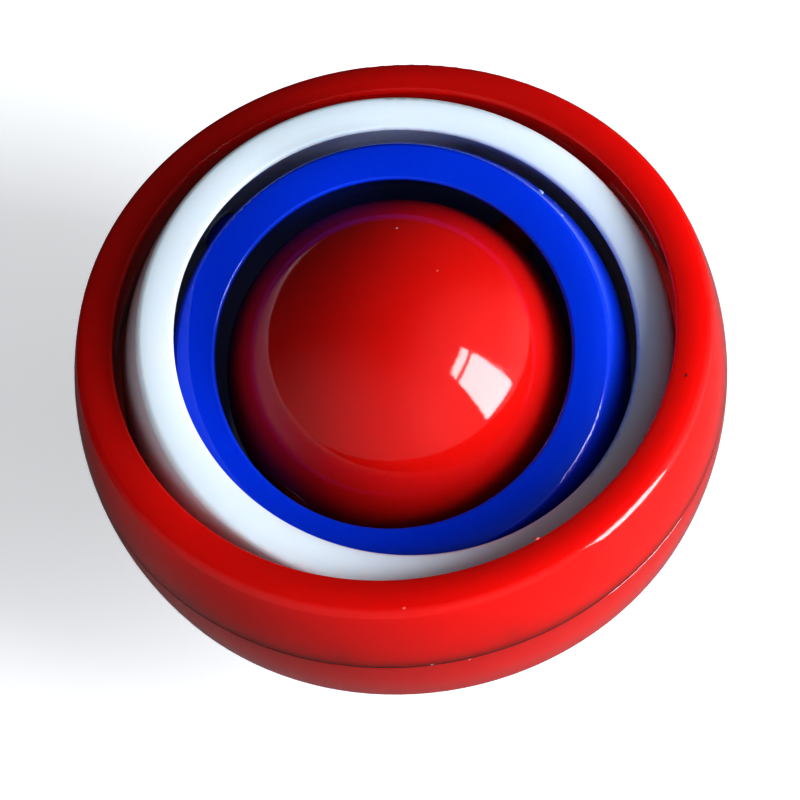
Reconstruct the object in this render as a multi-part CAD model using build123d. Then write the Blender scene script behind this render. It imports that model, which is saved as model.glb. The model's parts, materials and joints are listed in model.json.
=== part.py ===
from build123d import *

import os
from dataclasses import dataclass
from math import sqrt

# A gimbal fidget spinner: three rings cut from nested spheres, and a ball in the middle.
# The frame's origin is the common centre of all the pivots. +Z is the outer ring's axis,
# and +X is the pivot axis on which the middle ring turns in the outer ring.
# All sizes are in millimetres and all angles in degrees.

# Rings: each is a spherical wall between two crowned rims, moulded in two halves.
OUTER_RADIUS = 27.5
WALL = 2.9
RING_GAP = 1.1
HALF_HEIGHT = 7.9
INNER_EDGE_FILLET = 0.3
SEAM_CHAMFER = 0.12

# A rim has a narrow flat, falls away gently inwards from it, and further outwards.
RIM_FLAT = 0.8
INWARD_FALL_WIDTH = 0.6
INWARD_FALL_RADIUS = 9.0
INWARD_FALL_ANGLE = 18.0
OUTWARD_FALL_ANGLE = 35.0

# Ball: two hollow shells with a lap joint.
BALL_RADIUS = 14.7
BALL_WALL = 2.0
LAP_DEPTH = 0.8
LAP_CLEARANCE = 0.05

# Pose at rest: how far the middle ring is turned in the outer ring, and the inner in the middle.
MIDDLE_TILT = 10.7
INNER_TILT = -12.7

# Pivots: a headed steel pin in the inner piece turns in a flanged bush in the outer piece.
PIN_RADIUS = 1.0
PIN_LENGTH = 5.0
PIN_HEAD_RADIUS = 1.5
PIN_HEAD_THICKNESS = 0.6
PIN_TIP_CHAMFER = 0.15
BUSH_RADIUS = 1.5
BUSH_FLANGE_RADIUS = 1.9
BUSH_FLANGE_THICKNESS = 0.5
BUSH_LENGTH = 2.1
FLANGE_PROUD = 0.2
RUNNING_CLEARANCE = 0.04
SEAT_CLEARANCE = 0.02
THRUST_CLEARANCE = 0.1
PIN_END_CLEARANCE = 0.15

# Bosses: moulded cones that keep each inner piece centred in the gap.
BOSS_TIP_RADIUS = 1.75
BOSS_ROOT_RADIUS = 2.2
BOSS_ROOT_DEPTH = 0.6
BOSS_TIP_FILLET = 0.15

# Pegs on the lower half of a ring locate it in sockets in the upper half.
PEG_RADIUS = 0.6
PEG_HEIGHT = 1.2
PEG_CHAMFER = 0.2
SOCKET_CLEARANCE = 0.04
SOCKET_DEPTH = 1.4
PEG_ANGLES = (30, 60, 120, 150, 210, 240, 300, 330)


@dataclass(frozen=True)
class Ring:
    """One ring, by its outside radius, the curve of its rims and the fillet of their outer edge."""

    outside: float
    crown_radius: float
    rim_fillet: float

    @property
    def inside(self):
        return self.outside - WALL

    @property
    def rim_bore(self):
        """Radius of the round hole at the rims."""
        return sqrt(self.inside**2 - HALF_HEIGHT**2)

    @property
    def rim_outside(self):
        """Radius of the rims' outer edge, before it is rounded."""
        return sqrt(self.outside**2 - HALF_HEIGHT**2)


OUTER_RING = Ring(OUTER_RADIUS, crown_radius=4.5, rim_fillet=0.9)
MIDDLE_RING = Ring(OUTER_RING.inside - RING_GAP, crown_radius=9.0, rim_fillet=0.6)
INNER_RING = Ring(MIDDLE_RING.inside - RING_GAP, crown_radius=9.0, rim_fillet=0.4)

# The direction of each pivot's pair of pins, as a turn about Z from +X.
ALONG_X = (0, 180)
ALONG_Y = (90, 270)

MIDDLE_PLACE = Rot(MIDDLE_TILT, 0, 0)
INNER_PLACE = MIDDLE_PLACE * Rot(0, INNER_TILT, 0)


def box_above(size):
    """The half space above the seam plane, as a box."""
    return Pos(0, 0, size / 2) * Box(2 * size, 2 * size, size)


def radial(angle, distance):
    """A place on the seam plane, with its local Z pointing outwards."""
    return Rot(0, 0, angle) * Pos(distance, 0, 0) * Rot(0, 90, 0)


def radial_cylinder(angle, start, end, radius):
    """A cylinder along a spoke of the seam plane, between two distances from the centre."""
    return radial(angle, (start + end) / 2) * Cylinder(radius, end - start)


def boss(angle, skin_radius, tip):
    """A cone that stands on the outside of a ring or the ball, flat at its tip."""
    root = skin_radius - BOSS_ROOT_DEPTH
    cone = Cone(BOSS_ROOT_RADIUS, BOSS_TIP_RADIUS, tip - root)
    cone = fillet(cone.edges().sort_by(Axis.Z)[-1], BOSS_TIP_FILLET)
    return radial(angle, (root + tip) / 2) * cone


def pin(angle, parent_inside):
    """A pin with a head, its tip inside the bush of the parent ring."""
    tip = parent_inside - FLANGE_PROUD + BUSH_LENGTH - PIN_END_CLEARANCE
    head_start = tip - PIN_LENGTH
    shank = Pos(0, 0, PIN_LENGTH / 2) * Cylinder(PIN_RADIUS, PIN_LENGTH)
    shank = chamfer(shank.edges().sort_by(Axis.Z)[-1], PIN_TIP_CHAMFER)
    head = Pos(0, 0, PIN_HEAD_THICKNESS / 2) * Cylinder(PIN_HEAD_RADIUS, PIN_HEAD_THICKNESS)
    return radial(angle, head_start) * (shank + head)


def pin_seat(angle, parent_inside):
    """The space that a pin and its head take up in the piece that holds them."""
    tip = parent_inside - FLANGE_PROUD + BUSH_LENGTH
    head_start = tip - PIN_END_CLEARANCE - PIN_LENGTH
    head_end = head_start + PIN_HEAD_THICKNESS
    shank = radial_cylinder(angle, head_start, tip, PIN_RADIUS + SEAT_CLEARANCE)
    head = radial_cylinder(
        angle, head_start - SEAT_CLEARANCE, head_end + SEAT_CLEARANCE, PIN_HEAD_RADIUS + SEAT_CLEARANCE
    )
    return shank + head


def bush(angle, parent_inside):
    """A flanged bush whose flange faces the boss of the piece that turns in it."""
    face = parent_inside - FLANGE_PROUD
    body = radial_cylinder(angle, face, face + BUSH_LENGTH, BUSH_RADIUS)
    flange = radial_cylinder(angle, face, face + BUSH_FLANGE_THICKNESS, BUSH_FLANGE_RADIUS)
    bore = radial_cylinder(angle, face, face + BUSH_LENGTH, PIN_RADIUS + RUNNING_CLEARANCE)
    return body + flange - bore


def bush_seat(angle, parent_inside):
    """The blind pocket that holds a bush and its flange in a ring's wall."""
    face = parent_inside - FLANGE_PROUD
    body_end = face + BUSH_LENGTH + SEAT_CLEARANCE
    flange_end = face + BUSH_FLANGE_THICKNESS + SEAT_CLEARANCE
    body = radial_cylinder(angle, face, body_end, BUSH_RADIUS + SEAT_CLEARANCE)
    flange = radial_cylinder(angle, face, flange_end, BUSH_FLANGE_RADIUS + SEAT_CLEARANCE)
    return body + flange


def space_under_rim(ring):
    """The section of all that lies between the seam plane and a crowned rim."""
    flat_start = ring.rim_bore + INWARD_FALL_WIDTH
    flat_end = flat_start + RIM_FLAT
    flat = Line((flat_start, HALF_HEIGHT), (flat_end, HALF_HEIGHT))
    inward_fall = CenterArc(
        (flat_start, HALF_HEIGHT - INWARD_FALL_RADIUS), INWARD_FALL_RADIUS, 90, INWARD_FALL_ANGLE
    )
    outward_fall = CenterArc(
        (flat_end, HALF_HEIGHT - ring.crown_radius), ring.crown_radius, 90 - OUTWARD_FALL_ANGLE, OUTWARD_FALL_ANGLE
    )
    below = Polyline(outward_fall @ 0, (2 * ring.outside, 0), (0, 0), inward_fall @ 1)
    return make_face([flat, outward_fall, inward_fall, below])


def plain_half_ring(ring):
    """The upper half of a ring's wall, with its rim edges rounded and its seam edge broken."""
    section = (Circle(ring.outside) - Circle(ring.inside)) & space_under_rim(ring)
    for corner, radius in (
        ((ring.rim_outside, HALF_HEIGHT), ring.rim_fillet),
        ((ring.rim_bore, HALF_HEIGHT), INNER_EDGE_FILLET),
    ):
        section = fillet(section.vertices().sort_by_distance(corner)[0], radius)
    section = chamfer(section.vertices().sort_by_distance((ring.outside, 0))[0], SEAM_CHAMFER)
    return revolve(Plane.XZ * section, Axis.Z)


def peg_places(ring):
    """Where the pegs stand, in the middle of the wall on the seam plane."""
    middle = ring.outside - WALL / 2
    return [Rot(0, 0, angle) * Pos(middle, 0, 0) for angle in PEG_ANGLES]


def peg():
    """A peg that stands up from the seam plane, rooted below it."""
    body = Cylinder(PEG_RADIUS, 2 * PEG_HEIGHT)
    return chamfer(body.edges().sort_by(Axis.Z)[-1], PEG_CHAMFER)


def ring_halves(ring, bushes, pins=(), parent=None):
    """Both halves of a ring in its own frame, with the bosses and pins that turn in its parent."""
    upper = plain_half_ring(ring)
    for angle in pins:
        whole_boss = boss(angle, ring.outside, parent.inside - FLANGE_PROUD - THRUST_CLEARANCE)
        upper += whole_boss & box_above(2 * ring.outside)
        upper -= pin_seat(angle, parent.inside)
    for angle in bushes:
        upper -= bush_seat(angle, ring.inside)
    lower = Rot(180, 0, 0) * upper
    for place in peg_places(ring):
        upper -= place * Cylinder(PEG_RADIUS + SOCKET_CLEARANCE, 2 * SOCKET_DEPTH)
        lower += place * peg()
    return upper, lower


def ball_halves():
    """Both shells of the ball in its own frame, with a lap joint at the seam."""
    tip = INNER_RING.inside - FLANGE_PROUD - THRUST_CLEARANCE
    hollow = BALL_RADIUS - BALL_WALL
    lap = BALL_RADIUS - BALL_WALL / 2
    above = box_above(2 * BALL_RADIUS)
    dome = Sphere(BALL_RADIUS) & above
    dome = chamfer(dome.edges().filter_by(GeomType.CIRCLE).sort_by(Axis.Z)[0], SEAM_CHAMFER)
    for angle in ALONG_X:
        dome += boss(angle, BALL_RADIUS, tip) & above
    dome -= Sphere(hollow)
    lower = Rot(180, 0, 0) * dome
    lower += Pos(0, 0, LAP_DEPTH / 2) * (
        Cylinder(lap - LAP_CLEARANCE, LAP_DEPTH) - Cylinder(hollow, LAP_DEPTH)
    )
    upper = dome - Cylinder(lap, 2 * (LAP_DEPTH + LAP_CLEARANCE))
    for angle in ALONG_X:
        upper -= pin_seat(angle, INNER_RING.inside)
        lower -= pin_seat(angle, INNER_RING.inside)
    return upper, lower


def save(name, place, shape):
    """Writes one node's STEP, moved from its ring's frame to the assembly's frame."""
    solids = (place * shape).solids()
    node = solids[0] if len(solids) == 1 else Compound(children=list(solids))
    node.label = name
    export_step(node, os.path.join("parts", f"{name}.step"))


def save_pivot(name, angles, parent, parent_place, child_place):
    """Writes the two pins and two bushes of one pivot axis."""
    for side, angle in zip(("front", "back"), angles):
        save(f"{name}_pin_{side}", child_place, pin(angle, parent.inside))
        save(f"{name}_bush_{side}", parent_place, bush(angle, parent.inside))


os.makedirs("parts", exist_ok=True)

outer_upper, outer_lower = ring_halves(OUTER_RING, bushes=ALONG_X)
save("outer_ring_upper_half", Pos(0, 0, 0), outer_upper)
save("outer_ring_lower_half", Pos(0, 0, 0), outer_lower)

middle_upper, middle_lower = ring_halves(MIDDLE_RING, bushes=ALONG_Y, pins=ALONG_X, parent=OUTER_RING)
save("middle_ring_upper_half", MIDDLE_PLACE, middle_upper)
save("middle_ring_lower_half", MIDDLE_PLACE, middle_lower)

inner_upper, inner_lower = ring_halves(INNER_RING, bushes=ALONG_X, pins=ALONG_Y, parent=MIDDLE_RING)
save("inner_ring_upper_half", INNER_PLACE, inner_upper)
save("inner_ring_lower_half", INNER_PLACE, inner_lower)

ball_upper, ball_lower = ball_halves()
save("ball_upper_shell", INNER_PLACE, ball_upper)
save("ball_lower_shell", INNER_PLACE, ball_lower)

save_pivot("outer_pivot", ALONG_X, OUTER_RING, Pos(0, 0, 0), MIDDLE_PLACE)
save_pivot("middle_pivot", ALONG_Y, MIDDLE_RING, MIDDLE_PLACE, INNER_PLACE)
save_pivot("ball_pivot", ALONG_X, INNER_RING, INNER_PLACE, INNER_PLACE)
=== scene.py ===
import json
from math import cos, pi, radians, sin
from typing import NamedTuple

import bmesh
import bpy
from mathutils import Euler, Matrix, Vector, noise


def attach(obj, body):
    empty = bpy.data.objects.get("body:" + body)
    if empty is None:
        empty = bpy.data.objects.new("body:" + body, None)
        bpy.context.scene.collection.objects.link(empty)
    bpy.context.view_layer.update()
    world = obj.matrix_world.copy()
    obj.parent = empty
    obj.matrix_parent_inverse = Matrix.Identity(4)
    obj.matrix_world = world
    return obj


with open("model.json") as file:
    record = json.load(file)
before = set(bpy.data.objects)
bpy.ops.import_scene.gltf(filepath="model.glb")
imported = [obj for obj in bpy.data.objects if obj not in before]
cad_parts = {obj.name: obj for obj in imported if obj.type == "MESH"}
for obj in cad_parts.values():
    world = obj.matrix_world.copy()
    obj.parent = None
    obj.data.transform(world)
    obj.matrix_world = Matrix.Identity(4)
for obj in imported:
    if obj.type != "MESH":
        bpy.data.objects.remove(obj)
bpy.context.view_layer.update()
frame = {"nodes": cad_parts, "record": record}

MM = 0.001

# The rings at rest: how far the middle ring is turned in the outer one, and the inner in the middle one.
MIDDLE_TILT = 10.7
INNER_TILT = -12.7
MIDDLE_TURN = Matrix.Rotation(radians(MIDDLE_TILT), 4, "X")
INNER_TURN = MIDDLE_TURN @ Matrix.Rotation(radians(INNER_TILT), 4, "Y")
TURN_AT_REST = {
    "outer_ring": Matrix.Identity(4),
    "middle_ring": MIDDLE_TURN,
    "inner_ring": INNER_TURN,
    "ball": INNER_TURN,
}

# The camera: a long lens that looks down from the front left.
CAMERA_AZIMUTH = -40.73
CAMERA_ELEVATION = 60.18
CAMERA_ROLL = -10.44
CAMERA_DISTANCE = 0.3195
CAMERA_LENS = 170.1
CAMERA_SENSOR = 36.0
CAMERA_NEAREST = 0.01
CAMERA_FURTHEST = 20.0
AIM_RIGHT = -0.00007
AIM_UP = -0.00227

# The window: an upright opening with a transom bar near its head, from just over the toy's level.
WINDOW_DISTANCE = 1.1
WINDOW_AZIMUTH = 17.0
WINDOW_TURN = 8.0
WINDOW_WIDTH = 0.5
WINDOW_SILL = 0.06
WINDOW_HEAD = 1.08
TRANSOM_HEIGHT = 0.86
TRANSOM_THICKNESS = 0.07
WINDOW_RADIANCE = 13.5
WINDOW_COLOUR = (0.94, 0.97, 1.0)


class Glow(NamedTuple):
    """A wide soft light in the room: full within its core and gone at its fade, both half angles."""

    azimuth: float
    elevation: float
    core: float
    fade: float
    radiance: float


# The room: dark overhead and behind, and brighter around the window and low at the sides.
ROOM_RADIANCE = 0.04
ROOM_COLOUR = (0.9, 0.95, 1.0)
GLOWS = (
    Glow(azimuth=20.0, elevation=20.0, core=10.0, fade=70.0, radiance=0.6),
    Glow(azimuth=-75.0, elevation=5.0, core=10.0, fade=80.0, radiance=0.46),
    Glow(azimuth=50.0, elevation=-25.0, core=5.0, fade=50.0, radiance=0.5),
)

# The toy is held by its ball, so the floor is below all that its rings sweep through.
FLOOR_HEIGHT = -28.0 * MM
FLOOR_RADIUS = 2.5
FLOOR_TONE = 0.9
FLOOR_GLOW = 0.3
TABLE_RADIUS = 0.09
TABLE_TONE = 0.3
SHADE_RADIUS = 0.024
SHADE_TONE = 0.05

# What the floor and the two hidden discs share: their shape, and the clouding of their tone.
DISC_CORNERS = 96
DISC_SPACING = 0.05 * MM
DISC_ROUGHNESS = 0.6
CLOUD_SCALE = 6.0
CLOUDING = 0.03

# The plastics: a colour and the shade of its flow lines, the roughness where it's clean, how much of the
# light goes into it, and how deep, in millimetres for red, green and blue.
PLASTICS = {
    "red_plastic": {
        "name": "red_abs",
        "colour": (0.68, 0.013, 0.009),
        "shade": (0.63, 0.011, 0.008),
        "roughness": 0.045,
        "subsurface": 1.0,
        "depth": (9.0, 0.15, 0.1),
    },
    "white_plastic": {
        "name": "white_abs",
        "colour": (0.77, 0.83, 0.88),
        "shade": (0.74, 0.81, 0.86),
        "roughness": 0.1,
        "subsurface": 0.8,
        "depth": (2.5, 1.8, 1.5),
    },
    "blue_plastic": {
        "name": "blue_abs",
        "colour": (0.0, 0.062, 0.66),
        "shade": (0.0, 0.055, 0.62),
        "roughness": 0.06,
        "subsurface": 0.4,
        "depth": (0.1, 0.2, 1.5),
    },
}
PLASTIC_IOR = 1.5
FLOW_DISTORTION = 1.5
SMUDGE_ROUGHNESS = 0.05

# The scales of their patterns, as the textures take them: the larger, the finer.
FLOW_SCALE = 90.0
SCRATCHED_SCALE = 110.0
SMUDGE_SCALE = 130.0
DUST_SCALE = 230.0
WAVE_SCALE = 420.0
GRAIN_SCALE = 2400.0

# Their relief: waves, with a finer grain of twice the height, and hairlines cut in.
PLASTIC_RELIEF = 0.03 * MM
PLASTIC_RELIEF_STRENGTH = 0.12
WAVE_SHARE = 0.5
HAIRLINE_SHARE = 0.5

# Two sets of hairline scratches: the turn of their direction, and how close they lie.
HAIRLINES = (((0.3, 0.5, 0.4), 900.0), ((1.2, -0.4, 2.0), 1200.0))
HAIRLINE_STRETCH = 0.04
HAIRLINE_WIDTH = 0.006
HAIRLINE_ROUGHNESS = 0.12

# Dust on them: the size of a speck within its cell, the cells that have one, and its look.
DUST_SIZE = 0.03
DUST_CORE = 0.6
DUST_THRESHOLD = 0.86
DUST_COLOUR = (0.75, 0.72, 0.7)
DUST_COVER = 0.35
DUST_ROUGHNESS = 0.3

# The steel of the pins.
STEEL_COLOUR = (0.56, 0.57, 0.6)
STEEL_ROUGHNESS = (0.2, 0.42)
STEEL_MARK_SCALE = 4000.0
STEEL_RELIEF = 0.03 * MM
STEEL_RELIEF_STRENGTH = 0.15

# The acetal of the bushes: the two colours that it's mottled with.
ACETAL_COLOURS = ((0.72, 0.7, 0.62), (0.82, 0.8, 0.74))
ACETAL_ROUGHNESS = 0.45
ACETAL_MOTTLE_SCALE = 900.0
ACETAL_RELIEF = 0.04 * MM
ACETAL_RELIEF_STRENGTH = 0.1

# The seams' radii in millimetres, and the dark thread in each, painted shade that darkens the seam's
# groove: how thick, how far sunk and how uneven.
SEAM_RADII = {"outer_ring": 27.5, "middle_ring": 23.5, "inner_ring": 19.5, "ball": 14.7}
SEAM_SHADE_RADIUS = 0.06
SEAM_SHADE_SINK = 0.08
SEAM_SHADE_UNEVENNESS = 0.2
SEAM_SHADE_SWELLINGS = 9
SEAM_SHADE_AROUND = 360
SEAM_SHADE_ACROSS = 8


class Lump(NamedTuple):
    """An irregular lump sunk in a surface, in its ring's own frame, in millimetres and degrees.

    Its size is its length around the ring, its width and its thickness, and outwards is the
    elevation of the surface's normal.
    """

    name: str
    body: str
    finish: str
    angle: float
    radius: float
    height: float
    outwards: float
    size: tuple


LUMPS = (
    Lump("gate_nib_blue", "inner_ring", "torn_blue", -1.7, 18.5, 6.15, 18, (0.55, 0.4, 0.35)),
    Lump("flow_drop_blue", "inner_ring", "torn_blue", -10.7, 18.2, 6.9, 25, (0.35, 0.3, 0.15)),
    Lump("gate_nib_red", "outer_ring", "torn_red", -110.0, 23.36, 7.72, 100, (0.45, 0.35, 0.3)),
    Lump("rim_speck_red", "outer_ring", "torn_red", -137.7, 25.95, 7.7, 70, (0.3, 0.22, 0.08)),
    # A nick in the rim, drawn as a flat dark patch on the top face: its darkness is painted shade of the
    # nick's floor.
    Lump("rim_nick_shade_red", "outer_ring", "nick_painted_shade", -63.7, 24.75, 7.9, 88, (0.35, 0.25, 0.04)),
    Lump("ball_dust", "ball", "dust_grain", 35.9, 9.67, 11.05, 49, (0.2, 0.16, 0.08)),
    Lump("seam_fleck_left", "outer_ring", "dust_grain", -134.5, 27.47, 0.14, 0, (0.3, 0.1, 0.1)),
    Lump("seam_fleck_right", "outer_ring", "dust_grain", -128.1, 27.47, -0.16, 0, (0.24, 0.1, 0.1)),
)
LUMP_UNEVENNESS = 0.3
LUMP_SWELLINGS = 1.7

# The finishes of the small pieces: a colour and a roughness, and what is the same in all of them.
SMALL_FINISHES = {
    # painted shade: the near-black colour of the thread that darkens each seam's groove
    "seam_shade_colour": ((0.03, 0.006, 0.005), 0.6),
    "torn_blue": ((0.35, 0.5, 0.9), 0.3),
    "torn_red": ((0.9, 0.25, 0.22), 0.3),
    "dust_grain": ((0.85, 0.8, 0.78), 0.7),
    # painted shade: the dark colour of the nick's floor
    "nick_painted_shade": ((0.12, 0.004, 0.003), 0.6),
}
SMALL_TINT_SCALE = 3000.0
SMALL_GLOSS_SCALE = 6000.0
SMALL_GRAIN_SCALE = 9000.0
SMALL_DARKEST = 0.6
SMALL_ROUGHENING = 0.2
SMALL_RELIEF = 0.02 * MM
SMALL_RELIEF_STRENGTH = 0.2


# ---------------------------------------------------------------- nodes


def new_material(name):
    """A node material, its tree and its Principled shader."""
    material = bpy.data.materials.new(name)
    material.use_nodes = True
    tree = material.node_tree
    return material, tree, tree.nodes["Principled BSDF"]


def add(tree, kind, **settings):
    """A node of that kind, with its properties or its named inputs set."""
    node = tree.nodes.new(kind)
    for key, value in settings.items():
        if hasattr(node, key):
            setattr(node, key, value)
        else:
            node.inputs[key].default_value = value
    return node


def own_place(tree):
    """The place of each point in its own object."""
    return add(tree, "ShaderNodeTexCoord").outputs["Object"]


def mapped(tree, value, low, high, to_low, to_high, **settings):
    """A value carried from one range to another, held at both ends."""
    node = add(tree, "ShaderNodeMapRange", **settings)
    for name, number in (("From Min", low), ("From Max", high), ("To Min", to_low), ("To Max", to_high)):
        node.inputs[name].default_value = number
    tree.links.new(value, node.inputs["Value"])
    return node.outputs["Result"]


def calculated(tree, operation, first, second):
    """The sum, product or other result of two values, the second a socket or a number."""
    node = add(tree, "ShaderNodeMath", operation=operation)
    tree.links.new(first, node.inputs[0])
    if isinstance(second, float):
        node.inputs[1].default_value = second
    else:
        tree.links.new(second, node.inputs[1])
    return node.outputs[0]


def tinted(tree, first, second, factor):
    """A colour that goes from the first to the second, the first a socket or a colour."""
    node = add(tree, "ShaderNodeMix", data_type="RGBA")
    tree.links.new(factor, node.inputs["Factor"])
    if isinstance(first, tuple):
        node.inputs["A"].default_value = (*first, 1)
    else:
        tree.links.new(first, node.inputs["A"])
    node.inputs["B"].default_value = (*second, 1)
    return node.outputs["Result"]


def give_relief(tree, shader, height, strength, distance):
    """The shader's surface takes that relief."""
    bump = add(tree, "ShaderNodeBump", Strength=strength, Distance=distance)
    tree.links.new(height, bump.inputs["Height"])
    tree.links.new(bump.outputs["Normal"], shader.inputs["Normal"])


def cloudy(tree, place, scale, detail=3.0, distortion=0.0):
    """A noise texture, about 0.5 with soft highs and lows."""
    node = add(tree, "ShaderNodeTexNoise", Scale=scale, Detail=detail, Distortion=distortion)
    tree.links.new(place, node.inputs["Vector"])
    return node.outputs["Fac"]


def scratches(tree, place, turn, spread):
    """Long hairlines in one direction: thin bands where a stretched noise crosses its middle value."""
    stretch = add(tree, "ShaderNodeMapping")
    stretch.inputs["Rotation"].default_value = turn
    stretch.inputs["Scale"].default_value = (spread, spread * HAIRLINE_STRETCH, spread)
    tree.links.new(place, stretch.inputs["Vector"])
    height = cloudy(tree, stretch.outputs["Vector"], 1.0, detail=1.0)
    distance = calculated(tree, "ABSOLUTE", calculated(tree, "SUBTRACT", height, 0.5), 0.0)
    line = mapped(tree, distance, 0.0, HAIRLINE_WIDTH, 1.0, 0.0)
    patches = mapped(tree, cloudy(tree, place, SCRATCHED_SCALE), 0.5, 0.62, 0.0, 1.0)
    return calculated(tree, "MULTIPLY", line, patches)


def specks(tree, place, scale, size):
    """Sparse round dots: the middles of the cells of a Voronoi pattern, in a few of the cells."""
    cells = add(tree, "ShaderNodeTexVoronoi", Scale=scale)
    tree.links.new(place, cells.inputs["Vector"])
    dot = mapped(tree, cells.outputs["Distance"], size * DUST_CORE, size, 1.0, 0.0)
    parts = add(tree, "ShaderNodeSeparateColor")
    tree.links.new(cells.outputs["Color"], parts.inputs["Color"])
    chosen = calculated(tree, "GREATER_THAN", parts.outputs["Red"], DUST_THRESHOLD)
    return calculated(tree, "MULTIPLY", dot, chosen)


# ---------------------------------------------------------------- finishes


def glossy_plastic(name, colour, shade, roughness, subsurface, depth):
    """Moulded ABS: flow lines in the colour, dust, hairline scratches, smudges and faint waviness."""
    material, tree, shader = new_material(name)
    link = tree.links.new
    place = own_place(tree)
    hairlines = calculated(tree, "MAXIMUM", *[scratches(tree, place, *lines) for lines in HAIRLINES])
    dust = specks(tree, place, DUST_SCALE, DUST_SIZE)

    flow = cloudy(tree, place, FLOW_SCALE, distortion=FLOW_DISTORTION)
    dustiness = calculated(tree, "MULTIPLY", dust, DUST_COVER)
    tint = tinted(tree, tinted(tree, colour, shade, flow), DUST_COLOUR, dustiness)
    link(tint, shader.inputs["Base Color"])

    smudges = cloudy(tree, place, SMUDGE_SCALE, detail=5.0)
    dulled = mapped(tree, smudges, 0.35, 0.7, roughness, roughness + SMUDGE_ROUGHNESS)
    for flaw, roughening in ((hairlines, HAIRLINE_ROUGHNESS), (dust, DUST_ROUGHNESS)):
        dulled = calculated(tree, "ADD", dulled, calculated(tree, "MULTIPLY", flaw, roughening))
    link(dulled, shader.inputs["Roughness"])

    waves = calculated(tree, "MULTIPLY", cloudy(tree, place, WAVE_SCALE), WAVE_SHARE)
    relief = calculated(tree, "ADD", waves, cloudy(tree, place, GRAIN_SCALE))
    relief = calculated(tree, "SUBTRACT", relief, calculated(tree, "MULTIPLY", hairlines, HAIRLINE_SHARE))
    give_relief(tree, shader, relief, PLASTIC_RELIEF_STRENGTH, PLASTIC_RELIEF)

    shader.inputs["IOR"].default_value = PLASTIC_IOR
    shader.inputs["Subsurface Weight"].default_value = subsurface
    shader.inputs["Subsurface Radius"].default_value = depth
    shader.inputs["Subsurface Scale"].default_value = MM
    return material


def turned_steel():
    """Bright pin steel with fine turning marks."""
    material, tree, shader = new_material("pin_steel_turned")
    marks = cloudy(tree, own_place(tree), STEEL_MARK_SCALE)
    tree.links.new(mapped(tree, marks, 0.0, 1.0, *STEEL_ROUGHNESS), shader.inputs["Roughness"])
    give_relief(tree, shader, marks, STEEL_RELIEF_STRENGTH, STEEL_RELIEF)
    shader.inputs["Base Color"].default_value = (*STEEL_COLOUR, 1)
    shader.inputs["Metallic"].default_value = 1.0
    return material


def natural_acetal():
    """The bushes' plastic: off-white, waxy and slightly mottled."""
    material, tree, shader = new_material("bush_acetal_natural")
    mottle = cloudy(tree, own_place(tree), ACETAL_MOTTLE_SCALE, detail=4.0)
    tree.links.new(tinted(tree, *ACETAL_COLOURS, mottle), shader.inputs["Base Color"])
    give_relief(tree, shader, mottle, ACETAL_RELIEF_STRENGTH, ACETAL_RELIEF)
    shader.inputs["Roughness"].default_value = ACETAL_ROUGHNESS
    return material


def small_finish(name, colour, roughness):
    """A finish for a small piece: uneven in colour, gloss and relief."""
    material, tree, shader = new_material(name)
    place = own_place(tree)
    darker = tuple(SMALL_DARKEST * part for part in colour)
    tint = tinted(tree, colour, darker, cloudy(tree, place, SMALL_TINT_SCALE))
    tree.links.new(tint, shader.inputs["Base Color"])
    patches = cloudy(tree, place, SMALL_GLOSS_SCALE)
    gloss = mapped(tree, patches, 0.3, 0.7, roughness, roughness + SMALL_ROUGHENING)
    tree.links.new(gloss, shader.inputs["Roughness"])
    give_relief(tree, shader, cloudy(tree, place, SMALL_GRAIN_SCALE), SMALL_RELIEF_STRENGTH, SMALL_RELIEF)
    return material


def matt_floor(name, tone, glow):
    """A matt surface with faint clouding around that tone, and a little light of its own."""
    material, tree, shader = new_material(name)
    link = tree.links.new
    cloud = cloudy(tree, own_place(tree), CLOUD_SCALE, detail=5.0)
    darker = 3 * ((1 - CLOUDING) * tone,)
    lighter = 3 * ((1 + CLOUDING) * tone,)
    tint = tinted(tree, darker, lighter, cloud)
    link(tint, shader.inputs["Base Color"])
    link(tint, shader.inputs["Emission Color"])
    shader.inputs["Emission Strength"].default_value = glow
    shader.inputs["Roughness"].default_value = DISC_ROUGHNESS
    return material


def dress_cad_nodes():
    """Every CAD node takes the detailed material of its slot."""
    finishes = {slot: glossy_plastic(**plastic) for slot, plastic in PLASTICS.items()}
    finishes["pin_steel"] = turned_steel()
    finishes["bush_acetal"] = natural_acetal()
    slots = {part["node"]: part["material_slot"] for part in frame["record"]["subparts"]}
    for name, node in frame["nodes"].items():
        node.data.materials.clear()
        node.data.materials.append(finishes[slots[name]])


# ---------------------------------------------------------------- small pieces


def add_piece(name, mesh, body, material):
    """A piece of the look that moves with that body."""
    for face in mesh.polygons:
        face.use_smooth = True
    piece = bpy.data.objects.new(name, mesh)
    bpy.context.scene.collection.objects.link(piece)
    piece.data.materials.append(material)
    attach(piece, body)


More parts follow.
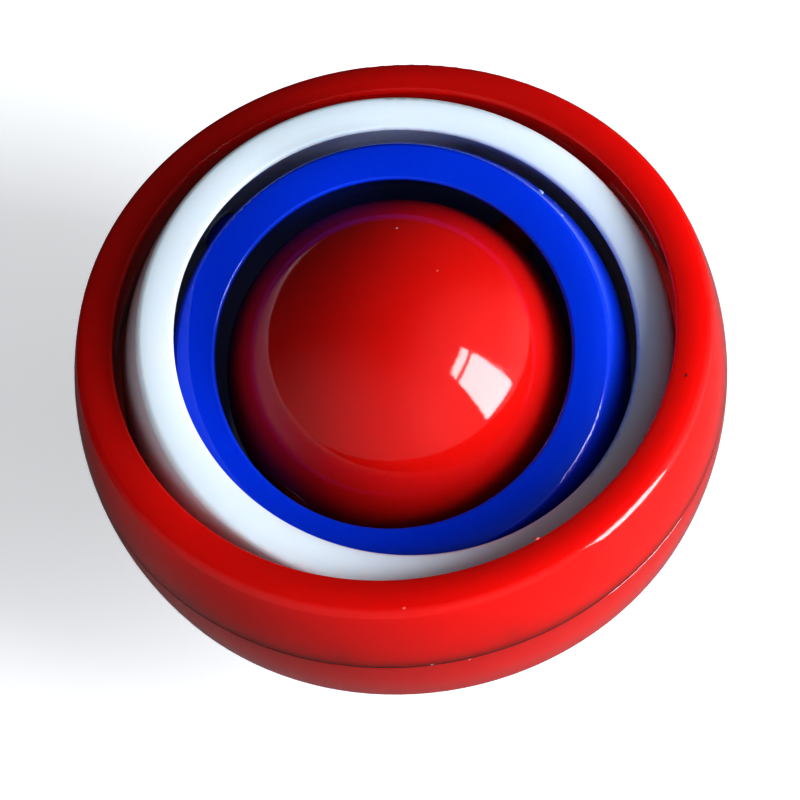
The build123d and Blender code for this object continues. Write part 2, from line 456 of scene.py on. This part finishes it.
def add_painted_seam_shade(body, radius, material):
    """A dark thread, uneven in width, sunk in the groove of a seam: painted shade that darkens the groove.
    """
    points = []
    for i in range(SEAM_SHADE_AROUND):
        angle = 2 * pi * i / SEAM_SHADE_AROUND
        spoke = Vector((cos(angle), sin(angle), 0))
        thickness = SEAM_SHADE_RADIUS * MM * (1 + SEAM_SHADE_UNEVENNESS * noise.noise(spoke * SEAM_SHADE_SWELLINGS))
        for j in range(SEAM_SHADE_ACROSS):
            turned = 2 * pi * j / SEAM_SHADE_ACROSS
            out = (radius - SEAM_SHADE_SINK) * MM + thickness * cos(turned)
            points.append(TURN_AT_REST[body] @ (spoke * out + Vector((0, 0, thickness * sin(turned)))))
    faces = []
    for i in range(SEAM_SHADE_AROUND):
        here = i * SEAM_SHADE_ACROSS
        following = (i + 1) % SEAM_SHADE_AROUND * SEAM_SHADE_ACROSS
        for j in range(SEAM_SHADE_ACROSS):
            beside = (j + 1) % SEAM_SHADE_ACROSS
            faces.append((here + j, following + j, following + beside, here + beside))
    mesh = bpy.data.meshes.new("seam_shade_thread_" + body)
    mesh.from_pydata(points, [], faces)
    add_piece(mesh.name, mesh, body, material)


def add_lump(lump, material):
    """That lump, as a swollen ball pressed into its surface."""
    builder = bmesh.new()
    bmesh.ops.create_icosphere(builder, subdivisions=3, radius=1.0)
    length, width, thickness = lump.size
    sides = Vector((thickness, length, width)) * MM / 2
    elsewhere = Vector((lump.angle, lump.radius, lump.height))
    for vertex in builder.verts:
        swell = 1 + LUMP_UNEVENNESS * noise.noise(vertex.co * LUMP_SWELLINGS + elsewhere)
        vertex.co = vertex.co * sides * swell
    bmesh.ops.transform(
        builder,
        matrix=TURN_AT_REST[lump.body]
        @ Matrix.Rotation(radians(lump.angle), 4, "Z")
        @ Matrix.Translation((lump.radius * MM, 0, lump.height * MM))
        @ Matrix.Rotation(radians(-lump.outwards), 4, "Y"),
        verts=builder.verts,
    )
    mesh = bpy.data.meshes.new(lump.name)
    builder.to_mesh(mesh)
    builder.free()
    add_piece(lump.name, mesh, lump.body, material)


def add_blemishes():
    """Painted shade as dark threads in the seams and as a dark patch for a nick, gate vestiges and dust."""
    finishes = {name: small_finish(name, *finish) for name, finish in SMALL_FINISHES.items()}
    for body, radius in SEAM_RADII.items():
        # Each seam gets a dark thread of painted shade in its groove.
        add_painted_seam_shade(body, radius, finishes["seam_shade_colour"])
    for lump in LUMPS:
        add_lump(lump, finishes[lump.finish])


# ---------------------------------------------------------------- stage


def make_disc(name, height, radius, tone, glow):
    """A level disc under the toy."""
    turns = [2 * pi * i / DISC_CORNERS for i in range(DISC_CORNERS)]
    corners = [(radius * cos(turn), radius * sin(turn), height) for turn in turns]
    mesh = bpy.data.meshes.new(name)
    mesh.from_pydata(corners, [], [tuple(range(DISC_CORNERS))])
    disc = bpy.data.objects.new(name, mesh)
    bpy.context.scene.collection.objects.link(disc)
    disc.data.materials.append(matt_floor(name, tone, glow))
    return disc


def make_floor():
    """The pale floor that is seen, and two discs that are not, so that the toy is lit as if on a table.

    The table is greyer than the floor, and the shade on it, under the ball, keeps the gaps dark.
    """
    floor = make_disc("floor", FLOOR_HEIGHT, FLOOR_RADIUS, FLOOR_TONE, FLOOR_GLOW)
    floor.visible_diffuse = False
    floor.visible_glossy = False
    floor.visible_transmission = False
    floor.visible_shadow = False
    table = make_disc("table", FLOOR_HEIGHT - 2 * DISC_SPACING, TABLE_RADIUS, TABLE_TONE, 0.0)
    table.visible_camera = False
    shade = make_disc("shade", FLOOR_HEIGHT - DISC_SPACING, SHADE_RADIUS, SHADE_TONE, 0.0)
    shade.visible_camera = False


def direction(azimuth, elevation):
    """The unit vector from the toy's centre, with azimuth 0 towards -Y and positive towards +X."""
    a, e = radians(azimuth), radians(elevation)
    return Vector((sin(a) * cos(e), -cos(a) * cos(e), sin(e)))


def make_window():
    """Two upright panes, above and below the transom bar."""
    foot = direction(WINDOW_AZIMUTH, 0) * WINDOW_DISTANCE
    facing = direction(WINDOW_AZIMUTH + WINDOW_TURN, 0).to_track_quat("Z", "Y").to_matrix().to_4x4()
    half_bar = TRANSOM_THICKNESS / 2
    for name, low, high in (
        ("window_low", WINDOW_SILL, TRANSOM_HEIGHT - half_bar),
        ("window_top", TRANSOM_HEIGHT + half_bar, WINDOW_HEAD),
    ):
        light = bpy.data.lights.new(name, "AREA")
        light.shape = "RECTANGLE"
        light.size = WINDOW_WIDTH
        light.size_y = high - low
        light.color = WINDOW_COLOUR
        light.energy = WINDOW_RADIANCE * pi * WINDOW_WIDTH * (high - low)
        pane = bpy.data.objects.new(name, light)
        bpy.context.scene.collection.objects.link(pane)
        pane.matrix_world = Matrix.Translation(foot + Vector((0, 0, (low + high) / 2))) @ facing


def make_world():
    """The room, as the sum of its dark and its glows."""
    world = bpy.data.worlds.new("room")
    bpy.context.scene.world = world
    world.use_nodes = True
    tree = world.node_tree
    outwards = add(tree, "ShaderNodeTexCoord").outputs["Generated"]
    total = add(tree, "ShaderNodeValue").outputs[0]
    total.default_value = ROOM_RADIANCE
    for glow in GLOWS:
        nearness = add(tree, "ShaderNodeVectorMath", operation="DOT_PRODUCT")
        nearness.inputs[1].default_value = direction(glow.azimuth, glow.elevation)
        tree.links.new(outwards, nearness.inputs[0])
        fade, core = cos(radians(glow.fade)), cos(radians(glow.core))
        lit = mapped(
            tree, nearness.outputs["Value"], fade, core, 0.0, glow.radiance, interpolation_type="SMOOTHSTEP"
        )
        total = calculated(tree, "ADD", total, lit)
    background = tree.nodes["Background"]
    background.inputs["Color"].default_value = (*ROOM_COLOUR, 1)
    tree.links.new(total, background.inputs["Strength"])


def make_camera():
    """The camera, aimed just below the toy's centre."""
    camera = bpy.data.cameras.new("camera")
    camera.lens = CAMERA_LENS
    camera.sensor_width = CAMERA_SENSOR
    camera.clip_start = CAMERA_NEAREST
    camera.clip_end = CAMERA_FURTHEST
    holder = bpy.data.objects.new("camera", camera)
    bpy.context.scene.collection.objects.link(holder)
    turn = Euler((radians(90 - CAMERA_ELEVATION), 0, radians(CAMERA_AZIMUTH))).to_matrix()
    turn = turn @ Matrix.Rotation(radians(CAMERA_ROLL), 3, "Z")
    place = turn @ Vector((AIM_RIGHT, AIM_UP, CAMERA_DISTANCE))
    holder.matrix_world = Matrix.Translation(place) @ turn.to_4x4()
    bpy.context.scene.camera = holder


dress_cad_nodes()
add_blemishes()
make_floor()
make_window()
make_world()
make_camera()
bpy.context.scene.view_settings.view_transform = "Standard"
bpy.context.scene.view_settings.look = "High Contrast"
